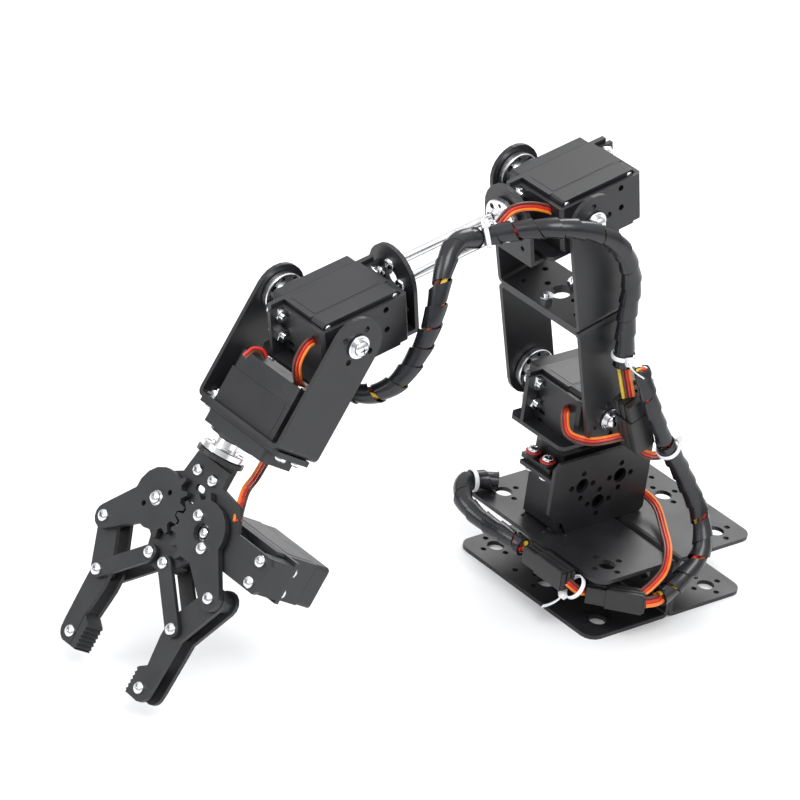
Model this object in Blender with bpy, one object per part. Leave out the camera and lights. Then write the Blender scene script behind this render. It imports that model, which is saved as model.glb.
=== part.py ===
"""Six-servo desktop robot arm with a parallel gripper, modelled piece by piece.

Metres, +Z up.  +X is the reach direction, +Y the side of the passive pivots.
Every piece is drawn in millimetres in a local frame and then placed.
A local frame has x along the link, y across the arm and z = x cross y.
"""
import math

import bmesh
import bpy
from mathutils import Matrix, Vector

MM = 0.001
SHEET = 2.0            # bracket sheet
SMALL_HOLE = 1.5       # radius
BIG_HOLE = 4.1         # radius
SMALL_SIDES = 8        # sides of the small holes
BIG_SIDES = 16         # sides of the large holes

# Base: two C beams back to back
BASE_HALF_X = 47.2
BASE_HALF_Y = 47.7
BASE_HEIGHT = 31.0
BASE_HOLE_X = 33.3
BASE_HOLE_PITCH = 36.5

# Standard servo, shaft at the origin, measured up from its bottom face
SERVO_FRONT = 10.2     # case end nearest the shaft
SERVO_BACK = -30.5
SERVO_HALF_T = 9.85
SERVO_H = 36.5
BACK_COVER_H = 8.6
EAR_LOW = 26.9
EAR_TOP = 29.3
EAR_REACH = 7.0
SERVO_MID = (SERVO_FRONT + SERVO_BACK) / 2
EAR_HOLE = 24.75       # from the middle of the case

# Servo bracket
BRACKET_HALF_L = 29.5
BRACKET_WALL = 20.8    # inner face of the end walls, from the middle
BRACKET_OPEN = 8.0     # open edge, from the shaft plane
BRACKET_FACE = 16.0    # outer face of the broad plate
BRACKET_BOTTOM = -2.5  # outer face of the bottom plate, from the servo bottom

# Long U bracket
U_HALF_OUT = 28.0
U_REACH = 54.0
STRAP = 13.0           # half of the strap width

# Pose of the arm and where its axes are
ARM_Y = -10.0
WAIST_X = 4.5
WAIST_SERVO_Z = 33.6
SHOULDER = (28.3, 95.6)
UPPER_ANGLE = 74.8
UPPER_LENGTH = 2 * U_REACH + 0.1
FOREARM_ANGLE = -12.0
FOREARM_LENGTH = 129.9
WRIST_DROP = -4.5
WRIST_ANGLE = -61.2
SERVO_BOTTOM_Y = 18.3  # of the three pitch servos, from the arm plane
ROLL_Y = -10.15

# Gripper, from the roll disc face
GRIPPER_AT = 73.0
GEAR_U = 30.0
GEAR_Y = 16.0
CRANK = (20.5, 22.3)
LINK = (20.8, -10.9)
PALM_T = 2.0
GEAR_LOW = 2.6
GEAR_TOP = 5.4
TIP_R = 17.4
ROOT_R = 14.1
PLATE_R = 13.8
TEETH = 16
FINGER_TOP = 2.3
FINGER_LOW = -7.7
LINK_LOW = 2.6
LINK_TOP = 4.6

# Cables: name, radius, points in world millimetres
CABLES = (
    ("harness_wrist", 4.2, ((176, -2, 141), (168, 8, 137), (158, 17, 144), (147, 18, 159),
                            (141, 17, 175), (134, 11, 190), (124, 5, 198), (111, 3, 197))),
    ("harness_elbow", 4.2, ((107.6, 3.6, 197.2), (97, 11, 201), (85, 22, 205), (66, 29, 202),
                            (50, 30, 191), (39, 28, 173), (36, 26, 153), (33.4, 26, 128.5))),
    ("wires_shoulder", 2.6, ((33.2, 26.2, 127.2), (32, 28, 121), (30.8, 29.7, 115.2))),
    ("harness_shoulder", 3.6, ((32.3, 36.5, 131), (28.6, 39, 120), (22.8, 40.5, 107.3),
                               (14.8, 40.5, 93))),
    ("harness_waist", 4.2, ((13.9, 40.4, 91.4), (3.1, 39.5, 77.9), (-5.6, 40.5, 64.3),
                            (-12.5, 44, 50), (-11, 50.5, 38.5), (-7, 53.2, 32), (1, 54, 25.5),
                            (9, 54.5, 21), (16, 55.5, 19.5))),
    ("harness_base", 4.2, ((54, 3, 28), (55, -9, 28.5), (58, -22, 30), (58, -36, 33),
                           (51, -44.5, 36), (42, -43, 36), (36, -39, 35.6))),
)
# Name, centre, size, axis it is turned about and degrees
PLUG_BLOCKS = (
    ("plug_block_shoulder", (25, 29.8, 99.7), (11, 12, 28), "Y", 22),
    ("plug_block_base", (34.6, 46.9, 20), (27, 8, 10), "Z", -48),
    ("plug_block_front", (53.3, 20, 26.5), (8, 28, 10), "Z", 0),
)

# Base colour, metallic, roughness
MATERIALS = {
    "black anodised sheet": ((0.018, 0.018, 0.020), 0.0, 0.45),
    "black jaw plate": ((0.020, 0.021, 0.022), 0.0, 0.50),
    "servo plastic": ((0.013, 0.013, 0.014), 0.0, 0.38),
    "bright alloy": ((0.78, 0.78, 0.80), 1.0, 0.28),
    "zinc steel": ((0.66, 0.67, 0.69), 1.0, 0.25),
    "cable sleeve": ((0.012, 0.012, 0.015), 0.0, 0.28),
    "wire insulation": ((0.60, 0.10, 0.02), 0.0, 0.40),
    "plug plastic": ((0.014, 0.014, 0.015), 0.0, 0.50),
}
# The first key found in a piece's name gives its material
LOOKS = (
    ("servo_block", "black jaw plate"), ("_servo_", "servo plastic"),
    ("horn", "bright alloy"), ("disc", "bright alloy"), ("rod", "bright alloy"),
    ("pivot", "zinc steel"), ("harness", "cable sleeve"), ("wires", "wire insulation"),
    ("plug", "plug plastic"), ("gear", "black jaw plate"), ("finger", "black jaw plate"),
    ("link", "black jaw plate"), ("palm", "black jaw plate"), ("", "black anodised sheet"),
)
# Moving groups: each has an empty on its joint's axis
GROUPS = {
    "turntable": ("waist_horn", "shoulder_bracket", "shoulder_servo", "shoulder_pivot",
                  "plug_block_shoulder", "harness_waist"),
    "upper_arm": ("shoulder_horn", "upper_arm", "elbow_horn", "wires_shoulder",
                  "harness_shoulder"),
    "forearm": ("elbow_bracket", "elbow_servo", "elbow_pivot", "elbow_l_bracket", "forearm",
                "wrist_l_bracket", "wrist_bracket", "wrist_servo", "wrist_pivot",
                "harness_elbow"),
    "hand": ("wrist_horn", "wrist_u_bracket", "roll_servo", "harness_wrist"),
    "gripper": ("roll_horn", "gripper_mount", "gripper_palm", "gripper_servo"),
    "right_drive": ("drive_gear", "gripper_horn"),
    "left_drive": ("idler_gear",),
    "right_finger": ("finger_right",),
    "left_finger": ("finger_left",),
    "right_link": ("link_right",),
    "left_link": ("link_left",),
}

PIECES = []            # (object, placing matrix) of every piece
TOOLS = []             # Boolean cutters


# ------------------------------------------------------------------ helpers
def frame(origin, x_axis, y_axis):
    """Matrix whose columns are x, y and x cross y, placed at origin (mm)."""
    x = Vector(x_axis).normalized()
    y = Vector(y_axis).normalized()
    z = x.cross(y)
    m = Matrix((x, y, z)).transposed().to_4x4()
    m.translation = Vector(origin)
    return m


def link_frame(x, z, degrees):
    a = math.radians(degrees)
    return frame((x, ARM_Y, z), (math.cos(a), 0, math.sin(a)), (0, 1, 0))


def circle(cx, cy, r, n=16, start=0.0):
    step = 2 * math.pi / n
    return [(cx + r * math.cos(start + k * step), cy + r * math.sin(start + k * step))
            for k in range(n)]


def arc(cx, cy, r, a0, a1, n):
    """Points of an arc from a0 to a1 degrees, both ends included."""
    out = []
    for k in range(n + 1):
        a = math.radians(a0 + (a1 - a0) * k / n)
        out.append((cx + r * math.cos(a), cy + r * math.sin(a)))
    return out


def rounded_rect(x0, x1, y0, y1, r, n=4):
    return (arc(x1 - r, y0 + r, r, -90, 0, n) + arc(x1 - r, y1 - r, r, 0, 90, n)
            + arc(x0 + r, y1 - r, r, 90, 180, n) + arc(x0 + r, y0 + r, r, 180, 270, n))


def prism(bm, outline, low, high, plane="xy"):
    """Add a closed prism: an outline in one plane, from low to high across it."""
    def at(a, b, c):
        if plane == "xy":
            return (a, b, c)
        if plane == "xz":
            return (a, c, b)
        return (c, a, b)
    lower = [bm.verts.new(at(a, b, low)) for a, b in outline]
    upper = [bm.verts.new(at(a, b, high)) for a, b in outline]
    bm.faces.new(lower)
    bm.faces.new(upper)
    count = len(outline)
    for k in range(count):
        j = (k + 1) % count
        bm.faces.new((lower[k], lower[j], upper[j], upper[k]))


def mesh_object(name, bm):
    bmesh.ops.recalc_face_normals(bm, faces=bm.faces)
    bm.transform(Matrix.Scale(MM, 4))
    mesh = bpy.data.meshes.new(name)
    bm.to_mesh(mesh)
    bm.free()
    obj = bpy.data.objects.new(name, mesh)
    bpy.context.scene.collection.objects.link(obj)
    return obj


def solid(name, place, *prisms):
    """One piece from (outline, low, high, plane) prisms that do not touch."""
    bm = bmesh.new()
    for one in prisms:
        prism(bm, *one)
    obj = mesh_object(name, bm)
    PIECES.append((obj, place))
    return obj


def cut(obj, operation, *prisms):
    """Boolean a piece with prisms drawn in its own local frame."""
    bm = bmesh.new()
    for one in prisms:
        prism(bm, *one)
    tool = mesh_object(obj.name + "_cutter", bm)
    TOOLS.append(tool)
    mod = obj.modifiers.new(operation.title(), "BOOLEAN")
    mod.operation = operation
    mod.solver = "EXACT"
    mod.object = tool
    return obj


def settle():
    """Bake the Booleans in the local frames, then put every piece in its place."""
    graph = bpy.context.evaluated_depsgraph_get()
    for obj, place in PIECES:
        mesh = bpy.data.meshes.new_from_object(obj.evaluated_get(graph))
        mesh.name = obj.name
        mesh.shade_smooth()
        mesh.set_sharp_from_angle(angle=math.radians(35))
        mesh.materials.append(material_of(obj.name))
        obj.modifiers.clear()
        obj.data = mesh
        obj.matrix_world = Matrix.Translation(place.translation * MM) @ place.to_3x3().to_4x4()
    for tool in TOOLS:
        bpy.data.objects.remove(tool, do_unlink=True)


def material_of(piece):
    """The material that the looks table gives a piece, made when first needed."""
    name = next(look for key, look in LOOKS if key in piece)
    made = bpy.data.materials.get(name)
    if made:
        return made
    colour, metallic, roughness = MATERIALS[name]
    made = bpy.data.materials.new(name)
    made.use_nodes = True
    shader = made.node_tree.nodes["Principled BSDF"]
    shader.inputs["Base Color"].default_value = (*colour, 1.0)
    shader.inputs["Metallic"].default_value = metallic
    shader.inputs["Roughness"].default_value = roughness
    return made


def group(axes):
    """Parent each moving group to an empty on its joint; axes gives each empty's place."""
    bpy.context.view_layer.update()
    for name, keys in GROUPS.items():
        empty = bpy.data.objects.new(name + "_axis", None)
        empty.empty_display_size = 0.01
        empty.matrix_world = Matrix.Translation(Vector(axes[name]) * MM)
        bpy.context.scene.collection.objects.link(empty)
        bpy.context.view_layer.update()
        for obj, _ in PIECES:
            if obj.name.startswith(keys):
                kept = obj.matrix_world.copy()
                obj.parent = empty
                obj.matrix_parent_inverse = empty.matrix_world.inverted()
                obj.matrix_world = kept


def box(x0, x1, y0, y1, z0, z1):
    return ([(x0, y0), (x1, y0), (x1, y1), (x0, y1)], z0, z1, "xy")


def hole_group(cx, cy, low, high, plane, spread, big=BIG_HOLE):
    """The large hole with four small ones round it."""
    out = [(circle(cx, cy, big, BIG_SIDES), low, high, plane)]
    for dx, dy in ((spread, 0), (-spread, 0), (0, spread), (0, -spread)):
        out.append((circle(cx + dx, cy + dy, SMALL_HOLE, SMALL_SIDES), low, high, plane))
    return out


# ------------------------------------------------------------------ servos
def servo(name, place):
    """Case with ears, gear cover and back cover.  Local x long, y thick, z height."""
    half = SERVO_HALF_T
    body = rounded_rect(SERVO_BACK, SERVO_FRONT, -half, half, 1.0, 1)
    back = rounded_rect(SERVO_BACK, SERVO_FRONT, -half, half, 1.6, 2)
    solid(name + "_servo_back_cover", place, (back, 0.0, BACK_COVER_H - 0.1, "xy"))

    side = [(SERVO_BACK, BACK_COVER_H), (SERVO_FRONT, BACK_COVER_H), (SERVO_FRONT, EAR_LOW),
            (SERVO_FRONT + EAR_REACH, EAR_LOW), (SERVO_FRONT + EAR_REACH, EAR_TOP),
            (SERVO_BACK - EAR_REACH, EAR_TOP), (SERVO_BACK - EAR_REACH, EAR_LOW),
            (SERVO_BACK, EAR_LOW)]
    case = solid(name + "_servo_case", place, (side, -half, half, "xz"))
    holes = []
    for end in (SERVO_MID - EAR_HOLE, SERVO_MID + EAR_HOLE):
        for y in (-5.0, 5.0):
            holes.append((circle(end, y, 2.2, SMALL_SIDES), EAR_LOW - 1, EAR_TOP + 1, "xy"))
    cut(case, "DIFFERENCE", *holes)

    top = SERVO_H - 1.4
    cover = solid(name + "_servo_gear_cover", place, (body, EAR_TOP + 0.1, top, "xy"))
    raised = (arc(0, 0, half - 0.2, -100, 100, 7)
              + arc(-12.5, 0, 7.0, 120, 240, 4))
    boss = circle(0, 0, 6.2, BIG_SIDES)
    cut(cover, "UNION", (raised, top - 1, SERVO_H, "xy"))
    cut(cover, "UNION", (boss, SERVO_H - 2, SERVO_H + 0.9, "xy"))


def horn(name, place, low, high):
    """Round servo disc: hub and flange, with a centre bore and four holes."""
    disc = solid(name, place, (circle(0, 0, 10.0, 20), high - 2.6, high, "xy"))
    cut(disc, "UNION", (circle(0, 0, 5.2, BIG_SIDES), low, high - 1.3, "xy"))
    tools = [(circle(0, 0, 1.6, SMALL_SIDES), high - 2.2, high + 1, "xy")]
    for k in range(4):
        a = math.radians(45 + 90 * k)
        tools.append((circle(7.0 * math.cos(a), 7.0 * math.sin(a), 1.4, SMALL_SIDES),
                      low - 1, high + 1, "xy"))
    cut(disc, "DIFFERENCE", *tools)


# ------------------------------------------------------------------ brackets
def servo_bracket(name, place):
    """Bent sheet: bottom plate, two end walls with ear lips and a broad plate.

    Same frame as the servo it holds; the broad plate is on the -y side.
    """
    mid = SERVO_MID
    wall = BRACKET_WALL
    outer = wall + SHEET
    reach = BRACKET_HALF_L
    low = BRACKET_BOTTOM
    lip = EAR_LOW - 0.1
    face = -BRACKET_FACE
    strip = [(mid - outer, low + 1.5), (mid - outer + 1.5, low), (mid + outer - 1.5, low),
             (mid + outer, low + 1.5), (mid + outer, lip - SHEET), (mid + reach, lip - SHEET),
             (mid + reach, lip), (mid + wall, lip), (mid + wall, low + SHEET),
             (mid - wall, low + SHEET), (mid - wall, lip), (mid - reach, lip),
             (mid - reach, lip - SHEET), (mid - outer, lip - SHEET)]
    bracket = solid(name, place, (strip, face + 1.0, BRACKET_OPEN, "xz"))
    foot = 12.0
    plate = [(mid - reach + foot, low), (mid + reach - 2, low), (mid + reach, low + 2),
             (mid + reach, lip + 5.5), (mid + reach - 3, lip + 8.5),
             (mid - reach + 3, lip + 8.5), (mid - reach, lip + 5.5), (mid - reach, low + foot),
             (mid - reach + 3.5, low + foot - 4.5), (mid - reach + foot - 3, low + foot - 6.5)]
    cut(bracket, "UNION", (plate, face, face + SHEET, "xz"))

    tools = []
    for along, up in ((-11.4, 20.5), (11.4, 20.5), (0.0, 9.5)):
        tools += hole_group(mid + along, up, face - 1, face + SHEET + 1, "xz", 6.4, 3.7)
    cut(bracket, "DIFFERENCE", *tools)
    ears = []
    for end in (-EAR_HOLE - 0.6, EAR_HOLE + 0.6):
        for y in (-5.0, 5.0):
            ears.append((circle(mid + end, y, 1.6, SMALL_SIDES), lip - 3, lip + 1, "xy"))
    ears.append((circle(0, 0, 3.9, BIG_SIDES), low - 1, low + SHEET + 1, "xy"))
    for x, y in ((-12, 0), (-21, 5), (-21, -5)):
        ears.append((circle(x, y, SMALL_HOLE, SMALL_SIDES), low - 1, low + SHEET + 1, "xy"))
    cut(bracket, "DIFFERENCE", *ears)
    slots = []
    for y in (-8.6, -12.9):
        slots.append((rounded_rect(y - 1.0, y + 1.0, 18.2, 22.6, 0.8, 1),
                      mid - outer - 1, mid + outer + 1, "yz"))
    cut(bracket, "DIFFERENCE", *slots)


def u_bracket(name, place, centre_window=None):
    """Long U: two arms with round ends about the axis, web at U_REACH."""
    out = U_HALF_OUT
    inner = out - SHEET
    reach = U_REACH
    end = -STRAP
    r = 3.0
    outline = [(end, -out)]
    outline += arc(reach - r, -out + r, r, -90, 0, 3)
    outline += arc(reach - r, out - r, r, 0, 90, 3)
    outline += [(end, out), (end, inner)]
    outline += arc(reach - r, inner - 1.0, 1.0, 90, 0, 1)
    outline += arc(reach - r, -inner + 1.0, 1.0, 0, -90, 1)
    outline += [(end, -inner)]
    outline = [(a if abs(a - (reach - r + 1.0)) > 1e-6 else reach - SHEET, b)
               for a, b in outline]
    bracket = solid(name, place, (outline, -STRAP, STRAP, "xy"))
    side = arc(0, 0, STRAP, 90, 270, 12) + [(reach + 5, -STRAP), (reach + 5, STRAP)]
    cut(bracket, "INTERSECT", (side, -out - 5, out + 5, "xz"))
    tools = []
    for x, z in ((8, 0), (-8, 0), (0, 8), (0, -8)):
        tools.append((circle(x, z, SMALL_HOLE, SMALL_SIDES), -out - 1, out + 1, "xz"))
    tools.append((circle(0, 0, 4.0, BIG_SIDES), -out - 1, out + 1, "xz"))
    cut(bracket, "DIFFERENCE", *tools)
    if centre_window:
        half_y, half_z = centre_window
        cut(bracket, "DIFFERENCE",
            ([(-half_y, -half_z), (half_y, -half_z), (half_y, half_z), (-half_y, half_z)],
             reach - 5, reach + 5, "yz"))
    else:
        webs = [(circle(0, 0, 5.0, BIG_SIDES), reach - 5, reach + 5, "yz")]
        for y, z in ((-9, 0), (9, 0), (0, 8), (0, -8), (-18, 6), (-18, -6), (18, 6), (18, -6)):
            webs.append((circle(y, z, SMALL_HOLE, SMALL_SIDES), reach - 5, reach + 5, "yz"))
        cut(bracket, "DIFFERENCE", *webs)


def pivot_bolt(name, place, low, high):
    """Flanged bearing and bolt that carries a U arm on the passive side."""
    bolt = solid(name, place, (circle(0, 0, 3.6, 10), low, high, "xy"))
    cut(bolt, "UNION", (circle(0, 0, 5.2, BIG_SIDES), high - 1.5, high + 0.8, "xy"))
    cut(bolt, "UNION", (circle(0, 0, 2.2, 8), high, high + 3.6, "xy"))


def l_bracket(name, place, foot_sign, depth):
    """Arched plate with a bent foot running to one side of it."""
    half = 15.5
    arch = arc(0, 0, half, 0, 180, 12) + [(-half, -depth), (half, -depth)]
    plate = solid(name, place, (arch, 0.0, SHEET, "yz"))
    if foot_sign > 0:
        foot = [(0.0, -depth - SHEET), (22.0, -depth - SHEET), (22.0, -depth),
                (SHEET, -depth), (SHEET, 1.0 - depth), (0.0, 1.0 - depth)]
    else:
        foot = [(SHEET, -depth - SHEET), (SHEET, 1.0 - depth), (0.0, 1.0 - depth),
                (0.0, -depth), (-20.0, -depth), (-20.0, -depth - SHEET)]
    cut(plate, "UNION", (foot, -half, half, "xz"))
    tools = [(circle(0, 0, 4.0, BIG_SIDES), -1, SHEET + 1, "yz")]
    for y, z in ((7, 0), (-7, 0), (0, 7), (0, -7), (10, -11), (-10, -11)):
        tools.append((circle(y, z, 1.3, SMALL_SIDES), -1, SHEET + 1, "yz"))
    cut(plate, "DIFFERENCE", *tools)


def base_beam(name, side):
    """C beam: web in the middle of the base, flanges running outwards."""
    place = frame((0, 0, 0), (side, 0, 0), (0, side, 0))
    r = 3.0
    w = BASE_HALF_X
    h = BASE_HEIGHT
    x0 = 0.1
    profile = [(w, 0)] + [(w, SHEET)]
    profile += arc(x0 + SHEET + 1.2, SHEET + 1.2, 1.2, -90, -180, 2)
    profile += arc(x0 + SHEET + 1.2, h - SHEET - 1.2, 1.2, 180, 90, 2)
    profile += [(w, h - SHEET), (w, h)]
    profile += arc(x0 + r, h - r, r, 90, 180, 3)
    profile += arc(x0 + r, r, r, 180, 270, 3)
    beam = solid(name, place, (profile, -BASE_HALF_Y, BASE_HALF_Y, "xz"))
    plan = ([(-5, -BASE_HALF_Y - 5), (20, -BASE_HALF_Y - 5), (20, -BASE_HALF_Y)]
            + arc(w - 6.5, -BASE_HALF_Y + 6.5, 6.5, -90, 0, 4)
            + arc(w - 6.5, BASE_HALF_Y - 6.5, 6.5, 0, 90, 4)
            + [(20, BASE_HALF_Y), (20, BASE_HALF_Y + 5), (-5, BASE_HALF_Y + 5)])
    cut(beam, "INTERSECT", (plan, -5, h + 5, "xy"))
    holes = []
    for k in (-1, 0, 1):
        holes += hole_group(BASE_HOLE_X, k * BASE_HOLE_PITCH, -5, h + 5, "xy", 7.3)
    for y in (-15.0, 15.0):
        holes.append((circle(39.3, y, SMALL_HOLE, SMALL_SIDES), -5, h + 5, "xy"))
    for y in (-30.0, 0.0, 30.0):
        holes.append((circle(y, h / 2, BIG_HOLE, BIG_SIDES), -5, 8, "yz"))
    cut(beam, "DIFFERENCE", *holes)


# ------------------------------------------------------------------ gripper
def gear_arm(name, place, side, teeth):
    """Toothed plate with its crank arm, about its own centre; side is +1 or -1."""
    mate = -90.0 * side
    step = 360.0 / TEETH
    rim = []
    for k in range(teeth):
        middle = mate + (k - (teeth - 1) / 2) * step
        for turn, radius in ((-7.2, ROOT_R), (-2.4, TIP_R), (2.4, TIP_R), (7.2, ROOT_R)):
            rim.append((middle + turn, radius))
    start = rim[-1][0]
    left = 360.0 - (start - rim[0][0])
    rim += [(start + left * k / 11, PLATE_R) for k in range(1, 11)]
    disc = [(r * math.cos(math.radians(a)), r * math.sin(math.radians(a))) for a, r in rim]
    gear = solid(name, place, (disc, GEAR_LOW, GEAR_TOP, "xy"))

    cx, cy = CRANK[0], side * CRANK[1]
    length = math.hypot(cx, cy)
    ca, sa = cx / length, cy / length
    arm = [(0, 9.5), (0, -9.5)] + arc(length, 0, 5.6, -90, 90, 7)
    arm = [(a * ca - b * sa, a * sa + b * ca) for a, b in arm]
    cut(gear, "UNION", (arm, GEAR_LOW, GEAR_TOP, "xy"))
    bore = circle(0, 0, 4.4, 14) if side > 0 else circle(0, 0, 2.1, 8)
    holes = [(bore, GEAR_LOW - 1, GEAR_TOP + 1, "xy"),
             (circle(cx, cy, 1.9, 8), GEAR_LOW - 1, GEAR_TOP + 1, "xy")]
    for turn in (0, 180):
        a = math.radians(90 - 45 * side + turn)
        holes.append((circle(7.5 * math.cos(a), 7.5 * math.sin(a), 1.3, SMALL_SIDES),
                      GEAR_LOW - 1, GEAR_TOP + 1, "xy"))
    cut(gear, "DIFFERENCE", *holes)


def crank_end(side):
    return GEAR_U + CRANK[0], side * (GEAR_Y + CRANK[1])


def link_base(side):
    return GEAR_U + LINK[0], side * (GEAR_Y + LINK[1])


def finger(name, place, side):
    """Two plates held apart by spacers and a serrated pad at the tip."""
    ju, jy = crank_end(1)
    ku, ky = ju + LINK[0], jy + LINK[1]
    lean = math.degrees(math.atan2(LINK[1], LINK[0]))
    outline = arc(ju, jy, 5.8, lean + 270, lean + 90, 7)
    outline += [(ku + 2.8, ky + 5.6), (78.0, 33.0), (98.0, 32.4)]
    outline += arc(100.5, 26.5, 5.7, 75, 10, 4)
    outline += [(106.0, 24.0), (106.0, 22.5), (91.0, 23.2), (77.0, 21.5),
                (ku - 2.8, ky - 5.6)]
    outline = [(u, side * y) for u, y in outline]
    plate = solid(name, place, (outline, FINGER_TOP - SHEET, FINGER_TOP, "xy"))
    cut(plate, "UNION", (outline, FINGER_LOW, FINGER_LOW + SHEET, "xy"))
    spacer = circle(ju, side * jy, 4.4, 10)
    cut(plate, "UNION", (spacer, FINGER_LOW + 1, FINGER_TOP - 1, "xy"))
    pad = [(90.0, 24.2), (93.5, 19.0)]
    for k in range(6):
        pad += [(94.5 + 2 * k, 18.4), (95.5 + 2 * k, 19.3)]
    pad += [(106.0, 18.6), (106.0, 25.5), (104.0, 27.5), (92.0, 26.5)]
    pad = [(u, side * y) for u, y in pad]
    cut(plate, "UNION", (pad, FINGER_LOW + 0.2, FINGER_TOP - 0.2, "xy"))
    low, high = FINGER_LOW - 2, FINGER_TOP + 2
    cut(plate, "DIFFERENCE", (circle(ku, side * ky, 3.1, 10), low, high, "xy"))
    cut(plate, "DIFFERENCE", (circle(ju, side * jy, 1.9, 8), low, high, "xy"))


def link(name, place, side):
    """Front and rear bars with the sleeve that joins them through the finger."""
    lu, ly = link_base(side)
    cu, cy = CRANK[0], side * CRANK[1]
    length = math.hypot(cu, cy)
    ca, sa = cu / length, cy / length
    bar = arc(0, 0, 3.7, 90, 270, 5) + arc(length, 0, 3.7, -90, 90, 5)
    bar = [(lu + a * ca - b * sa, ly + a * sa + b * ca) for a, b in bar]
    front = solid(name, place, (bar, LINK_LOW, LINK_TOP, "xy"))
    cut(front, "UNION", (bar, FINGER_LOW - 2.3, FINGER_LOW - 0.3, "xy"))
    sleeve = circle(lu + cu, ly + cy, 2.4, 10)
    cut(front, "UNION", (sleeve, FINGER_LOW - 1.3, LINK_TOP - 1, "xy"))
    cut(front, "DIFFERENCE", (circle(lu, ly, 1.9, 8), FINGER_LOW - 5, 9.0, "xy"))


def palm(name, place):
    """Plate that carries both gears, the link pivots and the gripper servo."""
    outline = [(3, -11), (14, -13), (20, -24), (38, -24), (45, -12)]
    outline += arc(link_base(1)[0], -5.1, 5.0, -90, 0, 3)
    outline += arc(link_base(1)[0], 5.1, 5.0, 0, 90, 3)
    outline += [(46, 13), (38.5, 26), (38.5, 55), (36, 57.5), (24, 57.5), (21.5, 55),
                (21.5, 32), (12, 26), (10, 12), (3, 11)]
    plate = solid(name, place, (outline, 0.0, PALM_T, "xy"))
    for side in (1, -1):
        lu, ly = link_base(side)
        cut(plate, "UNION", (circle(lu, ly, 3.4, 10), FINGER_LOW, 1.0, "xy"))
    holes = [(circle(GEAR_U, GEAR_Y, 10.8, 20), -2, 4, "xy"),
             (circle(GEAR_U, -GEAR_Y, 2.1, 8), -2, 4, "xy"),
             (rounded_rect(14.5, 17.5, -2.5, 3.5, 1.4, 2), -2, 4, "xy")]
    for u, y in ((10, 5.3), (10, -5.3), (25, 50.9), (35, 50.9), (25, 1.4), (35, 1.4)):
        holes.append((circle(u, y, 1.6, SMALL_SIDES), -2, 4, "xy"))
    for side in (1, -1):
        lu, ly = link_base(side)
        holes.append((circle(lu, ly, 1.9, 8), FINGER_LOW - 2, 4, "xy"))
    cut(plate, "DIFFERENCE", *holes)


def mount(name, place):
    """Flange on the roll disc with the leg that the palm is screwed to."""
    flange = solid(name, place, (circle(0, 0, 11.0, 20), -1.0, 1.0, "yz"))
    cut(flange, "UNION", box(-0.9, 15, -10.8, 10.8, -2.2, -0.1))
    tools = [(circle(0, 0, 1.5, SMALL_SIDES), -3, 3, "yz")]
    for k in range(4):
        a = math.radians(45 + 90 * k)
        tools.append((circle(7 * math.cos(a), 7 * math.sin(a), 1.3, SMALL_SIDES), -3, 3, "yz"))
    cut(flange, "DIFFERENCE", *tools)
    cut(flange, "DIFFERENCE", (circle(10, 5.3, 1.6, SMALL_SIDES), -4, 2, "xy"),
        (circle(10, -5.3, 1.6, SMALL_SIDES), -4, 2, "xy"))


def holder_block(name, place, y0, y1):
    """Spacer block between the palm and one pair of servo ears."""
    block = solid(name, place, box(21.8, 38.2, y0, y1, -15.0, -0.1))
    middle = (y0 + y1) / 2
    cut(block, "DIFFERENCE", (circle(25, middle, 1.6, SMALL_SIDES), -20, 5, "xy"),
        (circle(35, middle, 1.6, SMALL_SIDES), -20, 5, "xy"))


# ------------------------------------------------------------------ cables
def smooth(points, per=3):
    """Catmull-Rom through world points (mm)."""
    pts = [Vector(p) for p in points]
    pts = [2 * pts[0] - pts[1]] + pts + [2 * pts[-1] - pts[-2]]
    out = []
    for k in range(1, len(pts) - 2):
        a, b, c, d = pts[k - 1:k + 3]
        for j in range(per):
            t = j / per
            out.append(0.5 * (2 * b + (c - a) * t + (2 * a - 5 * b + 4 * c - d) * t * t
                              + (3 * b - 3 * c + d - a) * t ** 3))
    out.append(pts[-2])
    return out


def tube(name, points, radius, sides=7):
    """Closed tube along a smooth path."""
    path = smooth(points)
    bm = bmesh.new()
    normal = None
    rings = []
    for k, point in enumerate(path):
        ahead = path[min(k + 1, len(path) - 1)] - path[max(k - 1, 0)]
        ahead.normalize()
        if normal is None:
            normal = ahead.orthogonal().normalized()
        normal = (normal - ahead * normal.dot(ahead)).normalized()
        other = ahead.cross(normal)
        ring = []
        for j in range(sides):
            a = 2 * math.pi * j / sides
            ring.append(bm.verts.new(point + radius * (math.cos(a) * normal
                                                       + math.sin(a) * other)))
        rings.append(ring)
    for one, two in zip(rings, rings[1:]):
        for j in range(sides):
            i = (j + 1) % sides
            bm.faces.new((one[j], one[i], two[i], two[j]))
    bm.faces.new(rings[0])
    bm.faces.new(rings[-1])
    PIECES.append((mesh_object(name, bm), Matrix.Identity(4)))


# ------------------------------------------------------------------ build
for thing in list(bpy.data.objects):
    bpy.data.objects.remove(thing, do_unlink=True)

# Base and waist
base_beam("base_front_beam", 1)
base_beam("base_rear_beam", -1)
waist = frame((WAIST_X, ARM_Y, WAIST_SERVO_Z), (-1, 0, 0), (0, -1, 0))
servo_bracket("waist_bracket", waist)
servo("waist", waist)
horn("waist_horn", waist, 37.6, 45.7)

# Turntable
upper_u = math.cos(math.radians(UPPER_ANGLE)), math.sin(math.radians(UPPER_ANGLE))
elbow = (SHOULDER[0] + UPPER_LENGTH * upper_u[0], SHOULDER[1] + UPPER_LENGTH * upper_u[1])
fore_u = math.cos(math.radians(FOREARM_ANGLE)), math.sin(math.radians(FOREARM_ANGLE))
wrist = (elbow[0] + FOREARM_LENGTH * fore_u[0] - WRIST_DROP * fore_u[1],
         elbow[1] + FOREARM_LENGTH * fore_u[1] + WRIST_DROP * fore_u[0])


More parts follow.
